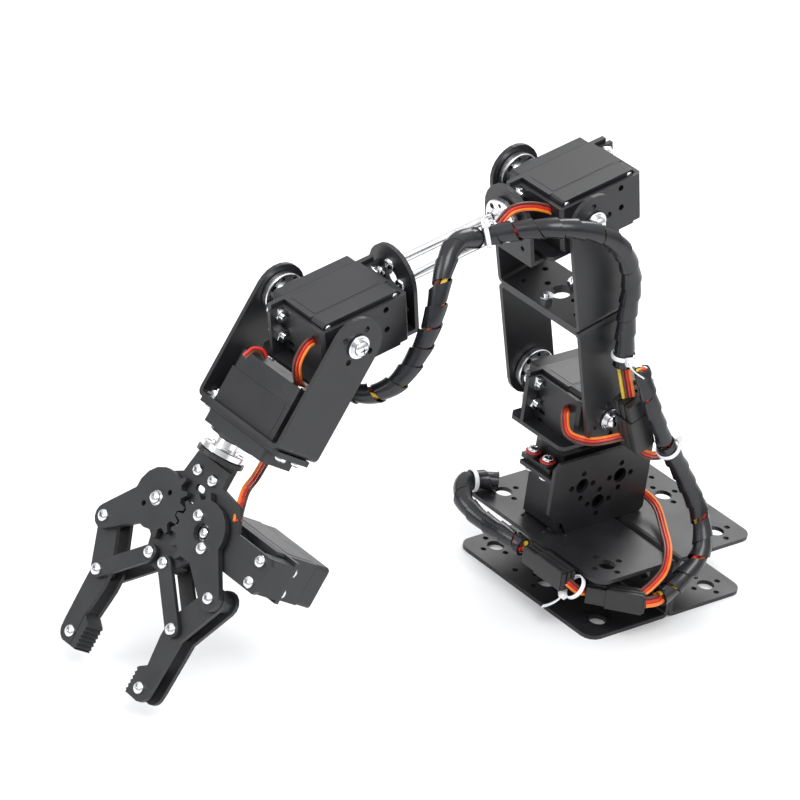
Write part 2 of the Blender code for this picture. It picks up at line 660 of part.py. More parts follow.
def pitch_servo(name, x, z, degrees, holder):
    """Servo with its shaft on a pitch axis, its bracket, disc and passive pivot."""
    a = math.radians(degrees)
    along = (math.cos(a), 0, math.sin(a))
    up = (-math.sin(a), 0, math.cos(a))
    place = frame((x, ARM_Y + SERVO_BOTTOM_Y, z), along, up)
    servo_bracket(holder, place)
    servo(name, place)
    horn(name + "_horn", place, 37.6, 44.1)
    down = (math.sin(a), 0, -math.cos(a))
    pivot_bolt(name + "_pivot", frame((x, ARM_Y, z), along, down), 20.9, 29.8)


pitch_servo("shoulder", *SHOULDER, 0.0, "shoulder_bracket")
u_bracket("upper_arm_lower_bracket", link_frame(*SHOULDER, UPPER_ANGLE))
u_bracket("upper_arm_upper_bracket", link_frame(*elbow, UPPER_ANGLE + 180))

# Forearm
pitch_servo("elbow", *elbow, FOREARM_ANGLE, "elbow_bracket")
forearm = link_frame(*elbow, FOREARM_ANGLE)
l_bracket("elbow_l_bracket", forearm @ Matrix.Translation((24, 0, 0)), -1, 16.2)
fore_disc = forearm @ Matrix.Rotation(math.radians(90), 4, "Y")
horn("forearm_disc", fore_disc, 26.1, 30.0)
for tag, y in (("near", 6.5), ("far", -6.5)):
    rod_place = forearm @ Matrix.Translation((0, y, -1))
    solid("forearm_rod_" + tag, rod_place, (circle(0, 0, 2.0, 10), 30.1, 87.9, "yz"))
l_bracket("wrist_l_bracket", forearm @ Matrix.Translation((88, 0, -2)), 1, 18.7)
pitch_servo("wrist", *wrist, FOREARM_ANGLE, "wrist_bracket")

# Wrist
hand = link_frame(*wrist, WRIST_ANGLE)
u_bracket("wrist_u_bracket", hand, (20.7, 10.2))
roll = (hand @ Matrix.Translation((U_REACH - EAR_LOW + 0.1, ROLL_Y, 0))
        @ frame((0, 0, 0), (0, -1, 0), (0, 0, -1)))
servo("roll", roll)
horn("roll_horn", roll, 37.6, 44.6)

# Gripper
grip = hand @ Matrix.Translation((GRIPPER_AT, ROLL_Y, 0))
mount("gripper_mount", grip)
palm("gripper_palm", grip)
drive = grip @ Matrix.Translation((GEAR_U, GEAR_Y, 0))
grip_servo = drive @ Matrix.Translation((0, 0, -8 - SERVO_H)) @ frame((0, 0, 0), (0, -1, 0),
                                                                      (1, 0, 0))
servo("gripper", grip_servo)
horn("gripper_horn", grip_servo, 37.6, 47.0)
holder_block("gripper_servo_block_shaft", grip, -2.1, 4.9)
holder_block("gripper_servo_block_rear", grip, 47.4, 54.4)
gear_arm("drive_gear", drive, 1, 7)
gear_arm("idler_gear", grip @ Matrix.Translation((GEAR_U, -GEAR_Y, 0)), -1, 6)
for tag, side in (("right", 1), ("left", -1)):
    finger("finger_" + tag, grip, side)
    link("link_" + tag, grip, side)

# Cables and plugs
for label, radius, path in CABLES:
    tube(label, path, radius)
for label, centre, size, axis, turn in PLUG_BLOCKS:
    half = [s / 2 for s in size]
    spot = Matrix.Translation(Vector(centre)) @ Matrix.Rotation(math.radians(turn), 4, axis)
    solid(label, spot, box(-half[0], half[0], -half[1], half[1], -half[2], half[2]))
settle()
origin_of = {
    "turntable": (WAIST_X, ARM_Y, 75.0),
    "upper_arm": (SHOULDER[0], ARM_Y, SHOULDER[1]),
    "forearm": (elbow[0], ARM_Y, elbow[1]),
    "hand": (wrist[0], ARM_Y, wrist[1]),
    "gripper": grip.translation,
}
for tag, side in (("right", 1), ("left", -1)):
    origin_of[tag + "_drive"] = grip @ Vector((GEAR_U, side * GEAR_Y, 0))
    origin_of[tag + "_finger"] = grip @ Vector((*crank_end(side), 0))
    origin_of[tag + "_link"] = grip @ Vector((*link_base(side), 0))
group(origin_of)
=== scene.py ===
"""Desktop robot arm: the looks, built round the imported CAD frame.

Lengths are millimetres in the local frames of the pieces, as in part.py, and
are scaled to metres when a mesh is made.  +Z is up, +X the way the arm reaches.
"""
import math

import bmesh
import bpy
from mathutils import Matrix, Vector, noise


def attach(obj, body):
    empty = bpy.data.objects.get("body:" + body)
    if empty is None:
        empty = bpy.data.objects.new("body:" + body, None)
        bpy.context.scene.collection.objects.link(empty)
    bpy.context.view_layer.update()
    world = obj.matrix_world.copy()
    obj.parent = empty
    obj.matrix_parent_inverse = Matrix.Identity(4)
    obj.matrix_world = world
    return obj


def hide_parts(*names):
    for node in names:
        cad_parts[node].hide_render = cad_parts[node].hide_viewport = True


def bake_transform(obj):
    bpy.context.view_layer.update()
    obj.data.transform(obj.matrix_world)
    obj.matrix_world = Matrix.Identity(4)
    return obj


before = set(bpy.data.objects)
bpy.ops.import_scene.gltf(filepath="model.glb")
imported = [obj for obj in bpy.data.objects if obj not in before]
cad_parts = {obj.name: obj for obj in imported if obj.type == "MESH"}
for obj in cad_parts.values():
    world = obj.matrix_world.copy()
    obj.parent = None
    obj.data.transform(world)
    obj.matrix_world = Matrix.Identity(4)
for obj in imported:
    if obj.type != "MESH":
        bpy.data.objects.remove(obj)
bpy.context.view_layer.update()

MM = 0.001

# Camera: a long lens that looks down on the arm from its front left side
CAMERA_AT = (1.2623, 1.2349, 1.0159)
CAMERA_RIGHT = (-0.77648, 0.61816, 0.12233)
CAMERA_UP = (-0.21172, -0.43877, 0.87331)
CAMERA_BACK = (0.59352, 0.65220, 0.47157)
LENS = 197.6

# Studio: a sky that is brightest overhead
SKY_LOW = 0.30
SKY_HIGH = 1.0
SKY_STRENGTH = 1.25

# Servo, shaft at the origin, measured up from its bottom face
SERVO_FRONT = 10.2
SERVO_BACK = -30.5
SERVO_MID = (SERVO_FRONT + SERVO_BACK) / 2
SERVO_HALF_T = 9.85
SERVO_H = 36.5
EAR_LOW = 26.9
EAR_TOP = 29.3
EAR_HOLE = 24.75
LIP_LOW = EAR_LOW - 2.1
SERVO_BOTTOM_Y = 18.3

# Pose of the arm
ARM_Y = -10.0
WAIST = (4.5, ARM_Y, 33.6)
SHOULDER = (28.3, 95.6)
UPPER_ANGLE = 74.8
U_REACH = 54.0
U_HALF = 28.0
FOREARM_ANGLE = -12.0
FOREARM_LENGTH = 129.9
WRIST_DROP = -4.5
WRIST_ANGLE = -61.2
ROLL_Y = -10.15
GRIPPER_AT = 73.0

# Gripper, in the palm's plane
GEAR = (30.0, 16.0)
CRANK = (20.5, 22.3)
LINK = (20.8, -10.9)
GEAR_TOP = 5.4
HORN_FACE = 2.5        # the gripper servo's disc, seen through the drive gear's bore
LINK_TOP = 4.6
FINGER_TOP = 2.3
FINGER_LOW = -7.7

FLAT_FACE = Vector((0.59, 0.65, 0.47))     # the way the flat leads face

# Harness routes, from the hand to the base
HARNESS = {
    "wrist": ((176, -2, 141), (168, 8, 137), (158, 17, 144), (147, 18, 159),
              (141, 17, 175), (134, 11, 190), (124, 5, 198), (111, 3, 197)),
    "elbow": ((107.6, 3.6, 197.2), (97, 11, 201), (85, 22, 205), (66, 29, 202),
              (50, 30, 191), (39, 28, 173), (36, 26, 153), (33.4, 26, 128.5)),
    "shoulder": ((32.3, 36.5, 131), (28.6, 39, 120), (22.8, 40.5, 107.3), (14.8, 40.5, 93)),
    "waist": ((13.9, 40.4, 91.4), (3.1, 39.5, 77.9), (-5.6, 40.5, 64.3), (-12.5, 44, 50),
              (-11, 50.5, 38.5), (-7, 53.2, 32), (1, 54, 25.5), (9, 54.5, 21), (16, 55.5, 19.5)),
    "base": ((54, 3, 28), (55, -9, 28.5), (58, -22, 30), (58, -36, 33), (51, -44.5, 36),
             (42, -43, 36), (36, -39, 35.6)),
}
WRAP_R = 3.9
WRAP_PITCH = 9.6
WRAP_WIDTH = 9.2
# Connector stacks: name, centre, size, axis turned about, degrees, body
PLUGS = (
    ("shoulder", (25, 29.8, 99.7), (11, 12, 28), "Y", 22, "turntable"),
    ("base", (34.6, 46.9, 20), (27, 8, 10), "Z", -48, "base"),
    ("front", (53.3, 20, 26.5), (28, 8, 10), "Z", -90, "base"),
)


# ------------------------------------------------------------------ placing
def place(origin, x_axis, y_axis):
    """Matrix in millimetres with columns x, y and x cross y."""
    x = Vector(x_axis).normalized()
    y = Vector(y_axis).normalized()
    m = Matrix((x, y, x.cross(y))).transposed().to_4x4()
    m.translation = Vector(origin)
    return m


def shift(x, y, z):
    return Matrix.Translation((x, y, z))


def pitched(x, z, degrees):
    a = math.radians(degrees)
    return place((x, ARM_Y, z), (math.cos(a), 0, math.sin(a)), (0, 1, 0))


def pitch_servo(x, z, degrees):
    a = math.radians(degrees)
    return place((x, ARM_Y + SERVO_BOTTOM_Y, z), (math.cos(a), 0, math.sin(a)),
                 (-math.sin(a), 0, math.cos(a)))


def along(start, length, degrees):
    a = math.radians(degrees)
    return start[0] + length * math.cos(a), start[1] + length * math.sin(a)


ELBOW = along(SHOULDER, 2 * U_REACH + 0.1, UPPER_ANGLE)
WRIST = along(along(ELBOW, FOREARM_LENGTH, FOREARM_ANGLE), WRIST_DROP, FOREARM_ANGLE + 90)
UPPER = pitched(*SHOULDER, UPPER_ANGLE)
UPPER_TOP = pitched(*ELBOW, UPPER_ANGLE + 180)
FOREARM = pitched(*ELBOW, FOREARM_ANGLE)
HAND = pitched(*WRIST, WRIST_ANGLE)
GRIP = HAND @ shift(GRIPPER_AT, ROLL_Y, 0)
SERVOS = {
    "waist": (place(WAIST, (-1, 0, 0), (0, -1, 0)), "base"),
    "shoulder": (pitch_servo(*SHOULDER, 0.0), "turntable"),
    "elbow": (pitch_servo(*ELBOW, FOREARM_ANGLE), "forearm"),
    "wrist": (pitch_servo(*WRIST, FOREARM_ANGLE), "forearm"),
    "roll": (HAND @ shift(U_REACH - EAR_LOW + 0.1, ROLL_Y, 0)
             @ place((0, 0, 0), (0, -1, 0), (0, 0, -1)), "hand"),
    "gripper": (GRIP @ shift(*GEAR, -8 - SERVO_H) @ place((0, 0, 0), (0, -1, 0), (1, 0, 0)),
                "gripper"),
}
FACING = {
    "+z": Matrix.Identity(4),
    "-z": Matrix.Rotation(math.pi, 4, "X"),
    "+x": Matrix.Rotation(math.pi / 2, 4, "Y"),
    "-x": Matrix.Rotation(-math.pi / 2, 4, "Y"),
    "+y": Matrix.Rotation(-math.pi / 2, 4, "X"),
    "-y": Matrix.Rotation(math.pi / 2, 4, "X"),
}


# ------------------------------------------------------------------ materials
class Nodes:
    """A material's node tree with short calls."""

    def __init__(self, name):
        self.material = bpy.data.materials.new(name)
        self.material.use_nodes = True
        self.tree = self.material.node_tree
        self.shader = self.tree.nodes["Principled BSDF"]
        self.place = self.add("ShaderNodeTexCoord").outputs["Object"]

    def add(self, kind, **values):
        node = self.tree.nodes.new(kind)
        for key, value in values.items():
            setattr(node, key, value)
        return node

    def link(self, out, into):
        self.tree.links.new(out, into)

    def noise(self, scale, detail=3.0, rough=0.55):
        node = self.add("ShaderNodeTexNoise")
        node.inputs["Scale"].default_value = scale
        node.inputs["Detail"].default_value = detail
        node.inputs["Roughness"].default_value = rough
        self.link(self.place, node.inputs["Vector"])
        return node.outputs["Fac"]

    def ramp(self, source, low, high, start=0.35, end=0.65):
        """Map a value onto a range of numbers or colours."""
        node = self.add("ShaderNodeValToRGB")
        for element, value, spot in zip(node.color_ramp.elements, (low, high), (start, end)):
            element.position = spot
            element.color = (*value, 1) if isinstance(value, tuple) else (value, value, value, 1)
        self.link(source, node.inputs["Fac"])
        return node.outputs["Color"]

    def bump(self, height, strength, distance):
        node = self.add("ShaderNodeBump")
        node.inputs["Strength"].default_value = strength
        node.inputs["Distance"].default_value = distance
        self.link(height, node.inputs["Height"])
        self.link(node.outputs["Normal"], self.shader.inputs["Normal"])

    def set(self, **values):
        for key, value in values.items():
            self.shader.inputs[key.replace("_", " ")].default_value = value


def finish(name, dark, light, rough, grain=(1400.0, 0.12), patch=45.0):
    """Base colour and roughness that vary in soft patches, over a fine grain."""
    look = Nodes(name)
    patches = look.noise(patch, 4.0)
    look.link(look.ramp(patches, dark, light), look.shader.inputs["Base Color"])
    fine = look.noise(grain[0], 2.0, 0.7)
    mixed = look.add("ShaderNodeMath", operation="MULTIPLY_ADD")
    look.link(fine, mixed.inputs[0])
    mixed.inputs[1].default_value = 0.4
    look.link(patches, mixed.inputs[2])
    look.link(look.ramp(mixed.outputs[0], rough[0], rough[1], 0.4, 0.95),
              look.shader.inputs["Roughness"])
    look.bump(fine, grain[1], 0.0002)
    return look.material


def rod_finish(name, colour, rough, rings, axis_scale):
    """Turned metal: fine rings in the roughness and the bump."""
    look = Nodes(name)
    stretch = look.add("ShaderNodeMapping")
    stretch.inputs["Scale"].default_value = axis_scale
    look.link(look.place, stretch.inputs["Vector"])
    lines = look.add("ShaderNodeTexNoise")
    lines.inputs["Scale"].default_value = rings
    lines.inputs["Detail"].default_value = 2.0
    look.link(stretch.outputs["Vector"], lines.inputs["Vector"])
    look.link(look.ramp(lines.outputs["Fac"], rough[0], rough[1]),
              look.shader.inputs["Roughness"])
    look.link(look.ramp(look.noise(90.0), tuple(c * 0.86 for c in colour), colour),
              look.shader.inputs["Base Color"])
    look.bump(lines.outputs["Fac"], 0.02, 0.0001)
    look.set(Metallic=1.0)
    return look.material


SHEET_BLACK = finish("anodised sheet", (0.008, 0.0083, 0.0095), (0.014, 0.0143, 0.016),
                     (0.34, 0.48), grain=(1900.0, 0.16))
JAW_BLACK = finish("jaw anodising", (0.009, 0.0095, 0.0105), (0.016, 0.0165, 0.018),
                   (0.40, 0.54), grain=(1500.0, 0.25))
SERVO_BLACK = finish("servo case plastic", (0.010, 0.0105, 0.0115), (0.016, 0.0165, 0.018),
                     (0.33, 0.46), grain=(2600.0, 0.1), patch=70.0)
COVER_BLACK = finish("servo cover plastic", (0.009, 0.0095, 0.011), (0.015, 0.0155, 0.017),
                     (0.38, 0.5), grain=(2300.0, 0.14), patch=60.0)
LABEL_BLACK = finish("servo label film", (0.009, 0.0092, 0.0105), (0.014, 0.0142, 0.016),
                     (0.32, 0.42), grain=(600.0, 0.03), patch=30.0)
WRAP_BLACK = finish("spiral wrap", (0.007, 0.0075, 0.010), (0.013, 0.0135, 0.017),
                    (0.20, 0.30), grain=(900.0, 0.04), patch=120.0)
GROMMET = finish("grommet rubber", (0.008, 0.008, 0.009), (0.014, 0.014, 0.015), (0.55, 0.7))
PLUG_BLACK = finish("connector plastic", (0.010, 0.010, 0.011), (0.018, 0.018, 0.019),
                    (0.4, 0.52))
RED_FIBRE = finish("red washer", (0.42, 0.012, 0.010), (0.55, 0.022, 0.016), (0.4, 0.55),
                   patch=300.0)
NYLON = finish("white nylon", (0.74, 0.75, 0.77), (0.84, 0.85, 0.86), (0.35, 0.45), patch=200.0)
WIRE_ORANGE = finish("orange wire", (0.74, 0.15, 0.012), (0.86, 0.22, 0.02), (0.35, 0.48),
                     patch=260.0)
WIRE_RED = finish("red wire", (0.50, 0.016, 0.012), (0.62, 0.03, 0.02), (0.35, 0.48),
                  patch=260.0)
WIRE_BROWN = finish("brown wire", (0.085, 0.022, 0.012), (0.13, 0.036, 0.02), (0.35, 0.48),
                    patch=260.0)
WIRE_YELLOW = finish("yellow wire", (0.60, 0.40, 0.03), (0.72, 0.5, 0.05), (0.35, 0.48),
                     patch=260.0)
DISC_SILVER = rod_finish("turned alloy", (0.90, 0.905, 0.92), (0.17, 0.27), 160.0, (1, 1, 1))
STEEL = rod_finish("zinc steel", (0.80, 0.81, 0.83), (0.13, 0.22), 220.0, (1, 1, 1))
ROD_SILVER = rod_finish("drawn rod", (0.84, 0.85, 0.87), (0.14, 0.24), 180.0, (0.1, 1, 1))
FLOOR = finish("pale floor", (0.84, 0.845, 0.85), (0.87, 0.875, 0.88), (0.6, 0.7), patch=6.0,
               grain=(300.0, 0.02))


# ------------------------------------------------------------------ mesh tools
def bmesh_object(name, bm, materials, sharp=35.0):
    """A smooth-shaded object from a bmesh in millimetres of the world frame."""
    bmesh.ops.recalc_face_normals(bm, faces=bm.faces)
    bm.transform(Matrix.Scale(MM, 4))
    mesh = bpy.data.meshes.new(name)
    bm.to_mesh(mesh)
    bm.free()
    mesh.shade_smooth()
    mesh.set_sharp_from_angle(angle=math.radians(sharp))
    obj = bpy.data.objects.new(name, mesh)
    bpy.context.scene.collection.objects.link(obj)
    for one in materials:
        mesh.materials.append(one)
    return obj


def lathe(bm, profile, matrix, sides=28):
    """Turn (radius, height) points about the local z axis; radius 0 closes an end."""
    rings = []
    for radius, height in profile:
        if radius == 0:
            rings.append([bm.verts.new(matrix @ Vector((0, 0, height)))])
            continue
        ring = []
        for k in range(sides):
            a = 2 * math.pi * k / sides
            ring.append(bm.verts.new(matrix @ Vector((radius * math.cos(a),
                                                      radius * math.sin(a), height))))
        rings.append(ring)
    closed = profile[0] == profile[-1]
    pairs = list(zip(rings, rings[1:]))
    if closed:
        for vert in rings.pop():
            bm.verts.remove(vert)
        pairs[-1] = (rings[-1], rings[0])
    for one, two in pairs:
        for k in range(sides):
            j = (k + 1) % sides
            if len(one) == 1:
                bm.faces.new((one[0], two[k], two[j]))
            elif len(two) == 1:
                bm.faces.new((one[k], one[j], two[0]))
            else:
                bm.faces.new((one[k], one[j], two[j], two[k]))


def slab(bm, outline, low, high, matrix=Matrix.Identity(4)):
    """Prism of a plan outline between two heights."""
    lower = [bm.verts.new(matrix @ Vector((x, y, low))) for x, y in outline]
    upper = [bm.verts.new(matrix @ Vector((x, y, high))) for x, y in outline]
    bm.faces.new(lower)
    bm.faces.new(upper)
    for k in range(len(outline)):
        j = (k + 1) % len(outline)
        bm.faces.new((lower[k], lower[j], upper[j], upper[k]))


def ring_points(radius, count, start=0.0):
    return [(radius * math.cos(start + 2 * math.pi * k / count),
             radius * math.sin(start + 2 * math.pi * k / count)) for k in range(count)]


def rect(x0, x1, y0, y1, r=0.0, n=3):
    if r == 0:
        return [(x0, y0), (x1, y0), (x1, y1), (x0, y1)]
    out = []
    for cx, cy, a0 in ((x1 - r, y0 + r, -90), (x1 - r, y1 - r, 0),
                       (x0 + r, y1 - r, 90), (x0 + r, y0 + r, 180)):
        for k in range(n + 1):
            a = math.radians(a0 + 90 * k / n)
            out.append((cx + r * math.cos(a), cy + r * math.sin(a)))
    return out


def carve(bm, cutter):
    """Cut one bmesh with another by an exact Boolean; both are millimetres."""
    parts = []
    for one in (bm, cutter):
        bmesh.ops.recalc_face_normals(one, faces=one.faces)
        mesh = bpy.data.meshes.new("carve")
        one.to_mesh(mesh)
        one.free()
        obj = bpy.data.objects.new("carve", mesh)
        bpy.context.scene.collection.objects.link(obj)
        parts.append(obj)
    mod = parts[0].modifiers.new("Cut", "BOOLEAN")
    mod.object = parts[1]
    mod.solver = "EXACT"
    mod.use_self = True
    graph = bpy.context.evaluated_depsgraph_get()
    result = bmesh.new()
    result.from_mesh(parts[0].evaluated_get(graph).to_mesh())
    for obj in parts:
        mesh = obj.data
        bpy.data.objects.remove(obj)
        bpy.data.meshes.remove(mesh)
    return result


def stamp(bm, template, matrix):
    """Add a transformed copy of a template mesh."""
    copy = template.copy()
    copy.transform(matrix)
    mesh = bpy.data.meshes.new("stamp")
    copy.to_mesh(mesh)
    copy.free()
    bm.from_mesh(mesh)
    bpy.data.meshes.remove(mesh)


# ------------------------------------------------------------------ cables
def smooth_path(points, per=14):
    """Catmull-Rom curve through points, with the same number of steps between each two."""
    pts = [Vector(p) for p in points]
    pts = [2 * pts[0] - pts[1]] + pts + [2 * pts[-1] - pts[-2]]
    curve = []
    for k in range(1, len(pts) - 2):
        a, b, c, d = pts[k - 1:k + 3]
        for j in range(per):
            t = j / per
            curve.append(0.5 * (2 * b + (c - a) * t + (2 * a - 5 * b + 4 * c - d) * t * t
                                + (3 * b - 3 * c + d - a) * t ** 3))
    curve.append(pts[-2])
    return curve


class Route:
    """A path with arc length and a frame that does not twist."""

    def __init__(self, points):
        self.points = smooth_path(points)
        self.lengths = [0.0]
        for one, two in zip(self.points, self.points[1:]):
            self.lengths.append(self.lengths[-1] + (two - one).length)
        self.length = self.lengths[-1]
        self.frames = []
        side = None
        for k in range(len(self.points)):
            ahead = (self.points[min(k + 1, len(self.points) - 1)]
                     - self.points[max(k - 1, 0)]).normalized()
            if side is None:
                side = ahead.orthogonal().normalized()
            side = (side - ahead * side.dot(ahead)).normalized()
            self.frames.append((ahead, side, ahead.cross(side)))

    def at(self, s):
        """Centre, tangent, side and other side at arc length s."""
        s = min(max(s, 0.0), self.length)
        k = 0
        while k < len(self.lengths) - 2 and self.lengths[k + 1] < s:
            k += 1
        t = (s - self.lengths[k]) / max(self.lengths[k + 1] - self.lengths[k], 1e-6)
        centre = self.points[k].lerp(self.points[k + 1], t)
        ahead, side, other = (self.frames[k][j].lerp(self.frames[k + 1][j], t).normalized()
                              for j in range(3))
        return centre, ahead, side, other

    def around(self, s, angle, radius):
        centre, _, side, other = self.at(s)
        return centre + radius * (math.cos(angle) * side + math.sin(angle) * other)


def skin(bm, rings, material=0, ends=True):
    """Faces between rings of vertices, with the ends filled."""
    count = len(rings[0])
    for one, two in zip(rings, rings[1:]):
        for j in range(count):
            i = (j + 1) % count
            bm.faces.new((one[j], one[i], two[i], two[j])).material_index = material
    if ends:
        bm.faces.new(rings[0]).material_index = material
        bm.faces.new(rings[-1]).material_index = material


def wire(bm, points, radius, material=0, sides=8):
    """A round wire through world points."""
    route = Route(points)
    steps = max(6, int(route.length / 1.6))
    rings = []
    for k in range(steps + 1):
        rings.append([bm.verts.new(route.around(route.length * k / steps,
                                                2 * math.pi * j / sides, radius))
                      for j in range(sides)])
    skin(bm, rings, material)


def wire_bundle(name, route, colours, radius=1.25, spread=1.9, turns_per_mm=0.018):
    """Wires that wind slowly round each other along a route."""
    bm = bmesh.new()
    for k in range(len(colours)):
        phase = 2 * math.pi * k / len(colours)
        steps = int(route.length / 2.0)
        points = [route.around(route.length * j / steps,
                               phase + 2 * math.pi * turns_per_mm * route.length * j / steps,
                               spread) for j in range(steps + 1)]
        wire(bm, points, radius, k)
    return bmesh_object(name, bm, colours)


def spiral_wrap(name, route, seed, radius):
    """Helical plastic band, its turns shingled, now and then with a gap between two."""
    bm = bmesh.new()
    per_turn = 18
    across = (-0.5, -0.25, 0.0, 0.25, 0.5)
    steps = int(per_turn * (route.length + WRAP_PITCH) / WRAP_PITCH)
    outer, inner = [], []
    for k in range(steps + 1):
        angle = 2 * math.pi * k / per_turn
        turn = k / per_turn
        drift = 1.5 * noise.noise(Vector((seed, turn * 0.85, 0.0)))
        lean = 0.35 * noise.noise(Vector((seed + 9.0, turn * 0.4, 3.0)))
        middle = WRAP_PITCH * (turn - 0.5) + drift * 1.6
        row_out, row_in = [], []
        for part in across:
            s = middle + part * WRAP_WIDTH
            lift = radius + (0.85 + lean * 0.5) * (part + 0.5)
            row_out.append(bm.verts.new(route.around(s, angle, lift)))
            row_in.append(bm.verts.new(route.around(s, angle, lift - 0.55)))
        outer.append(row_out)
        inner.append(row_in)
    for k in range(steps):
        for j in range(len(across) - 1):
            bm.faces.new((outer[k][j], outer[k][j + 1], outer[k + 1][j + 1], outer[k + 1][j]))
            bm.faces.new((inner[k][j], inner[k + 1][j], inner[k + 1][j + 1], inner[k][j + 1]))
        for j in (0, -1):
            bm.faces.new((outer[k][j], outer[k + 1][j], inner[k + 1][j], inner[k][j]))
    for k in (0, -1):
        for j in range(len(across) - 1):
            bm.faces.new((outer[k][j], inner[k][j], inner[k][j + 1], outer[k][j + 1]))
    return bmesh_object(name, bm, [WRAP_BLACK], 50.0)


def tie(name, body, route, s, radius, head_angle, tail):
    """Cable tie round a route: band, locking head and the cut or free tail."""
    centre, ahead, side, other = route.at(s)
    m = place(centre, side, other)
    bm = bmesh.new()
    half, inner, outer = 1.0, radius, radius + 0.7
    lathe(bm, [(inner, -half), (outer - 0.25, -half), (outer, -half + 0.25),
               (outer, half - 0.25), (outer - 0.25, half), (inner, half), (inner, -half)],
          m, 32)
    head = m @ Matrix.Rotation(head_angle, 4, "Z") @ shift(outer + 1.0, 0, 0)
    slab(bm, rect(-1.3, 1.3, -1.7, 1.7, 0.5), -1.6, 1.6, head)
    if tail:
        points = [head @ Vector((0, 0, 0)), head @ Vector((tail * 0.3, 1.2, 0)),
                  head @ Vector((tail * 0.7, 0.6, 0)), head @ Vector((tail, -0.8, 0))]
        strap = Route(points)
        rings = []
        for k in range(9):
            c, _, u, v = strap.at(strap.length * k / 8)
            rings.append([bm.verts.new(c + a * u + b * v)
                          for a, b in ((-0.9, -0.3), (0.9, -0.3), (0.9, 0.3), (-0.9, 0.3))])
        skin(bm, rings)
    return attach(bmesh_object(name, bm, [NYLON]), body)


def harness(part, body, crossing=None, seed=0.0, radius=WRAP_R):
    """Spiral wrap and its wires for one stretch; a crossing, given as (body, start, end), only
    leaves them fixed in the world frame instead of attached to body.
    """
    route = Route(HARNESS[part])
    wrap = spiral_wrap(f"spiral_wrap_{part}", route, seed, radius)
    wires = wire_bundle(f"harness_wires_{part}", route,
                        [WIRE_ORANGE, WIRE_RED, WIRE_BROWN, WIRE_YELLOW], spread=radius - 1.95)
    for piece in (wrap, wires):
        if crossing:
            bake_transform(piece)
        else:
            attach(piece, body)
    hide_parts(f"harness_{part}")
    return route


# ------------------------------------------------------------------ camera and stage
camera_data = bpy.data.cameras.new("camera")
camera_data.lens = LENS
camera_data.sensor_width = 36.0
camera_data.clip_end = 20.0
camera = bpy.data.objects.new("camera", camera_data)
bpy.context.scene.collection.objects.link(camera)
turn = Matrix((CAMERA_RIGHT, CAMERA_UP, CAMERA_BACK)).transposed().to_4x4()
camera.matrix_world = Matrix.Translation(CAMERA_AT) @ turn
bpy.context.scene.camera = camera

floor_bm = bmesh.new()
slab(floor_bm, ring_points(4000.0, 64), -20.0, 0.0)
floor = bmesh_object("floor", floor_bm, [FLOOR])

world = bpy.data.worlds.new("studio")
world.use_nodes = True
bpy.context.scene.world = world
sky = world.node_tree
background = sky.nodes["Background"]
background.inputs["Strength"].default_value = SKY_STRENGTH
direction = sky.nodes.new("ShaderNodeTexCoord")
split = sky.nodes.new("ShaderNodeSeparateXYZ")
fade = sky.nodes.new("ShaderNodeValToRGB")
for element, value, spot in zip(fade.color_ramp.elements, (SKY_LOW, SKY_HIGH), (0.0, 0.75)):
    element.position = spot
    element.color = (value, value, value * 1.01, 1)
sky.links.new(direction.outputs["Generated"], split.inputs["Vector"])
sky.links.new(split.outputs["Z"], fade.inputs["Fac"])
sky.links.new(fade.outputs["Color"], background.inputs["Color"])
bpy.context.scene.view_settings.view_transform = "Standard"


def area_light(name, at, size, power, colour=(1, 1, 1)):
    data = bpy.data.lights.new(name, "AREA")
    data.shape = "SQUARE"
    data.size = size
    data.energy = power
    data.color = colour
    light = bpy.data.objects.new(name, data)
    bpy.context.scene.collection.objects.link(light)
    light.location = at
    aim = Vector((0.11, -0.01, 0.1)) - Vector(at)
    light.rotation_euler = aim.to_track_quat("-Z", "Y").to_euler()


area_light("key softbox", (0.5, 1.1, 1.9), 1.0, 24.0)
area_light("side softbox", (1.7, -0.5, 1.1), 0.9, 12.0)
area_light("rear strip", (-1.1, -0.9, 1.2), 0.7, 9.0)

# ------------------------------------------------------------------ harness
harness("wrist", "hand", ("forearm", (172, 4, 140), (147, 18, 160)), 1.0)
elbow_route = harness("elbow", "forearm", ("upper_arm", (97, 11, 201), (45, 30, 186)), 2.0)
harness("shoulder", "upper_arm", ("turntable", (31, 38, 127), (16, 40.5, 95)), 5.0, 3.3)
waist_route = harness("waist", "turntable", ("base", (12, 40, 88), (-12, 45, 48)), 3.0)
base_route = harness("base", "base", None, 4.0)

tie("tie_forearm", "forearm", elbow_route, 2.0, 5.0, 2.4, 9.0)
tie("tie_upper_arm", "upper_arm", elbow_route, elbow_route.length - 5.0, 5.0, 4.0, 14.0)
tie("tie_waist", "turntable", waist_route, 5.0, 5.0, 1.0, 6.0)
tie("tie_base_front", "base", Route(((44, 37, 20), (49, 36, 22.5), (53.3, 34.5, 26))), 7.5,
    5.2, 3.4, 12.0)
tie("tie_base_corner", "base", base_route, base_route.length - 12.0, 4.9, 0.4, 8.0)

